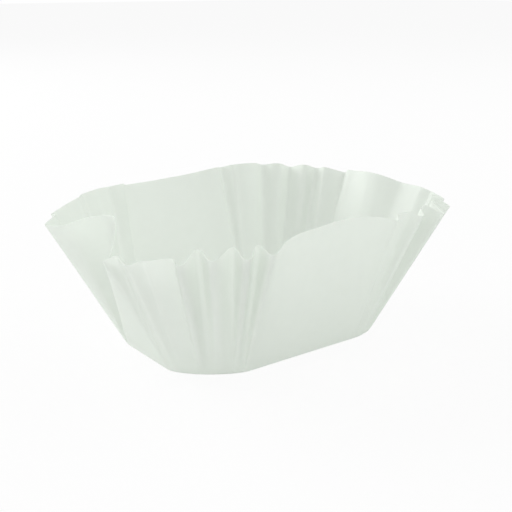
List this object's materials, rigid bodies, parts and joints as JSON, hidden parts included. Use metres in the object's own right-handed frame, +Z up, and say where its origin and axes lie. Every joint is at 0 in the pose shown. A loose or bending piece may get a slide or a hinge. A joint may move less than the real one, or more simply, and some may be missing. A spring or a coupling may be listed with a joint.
{
  "type": "cupcake liner",
  "caption": "Oblong paper cupcake liner with a flat base, nearly smooth side walls, fluted corners and one short wall folded inwards.",
  "frame": {"origin": "middle of the outline, on the plane that the base rests on", "axes": "+X along the long walls, +Y from the smooth front wall to the back one, +Z up out of the open mouth"},
  "size_m": [0.093, 0.0742, 0.0341],
  "materials": {
    "paper": "matte"
  },
  "bodies": {
    "root": {"liner": "paper"}
  },
  "joints": []
}
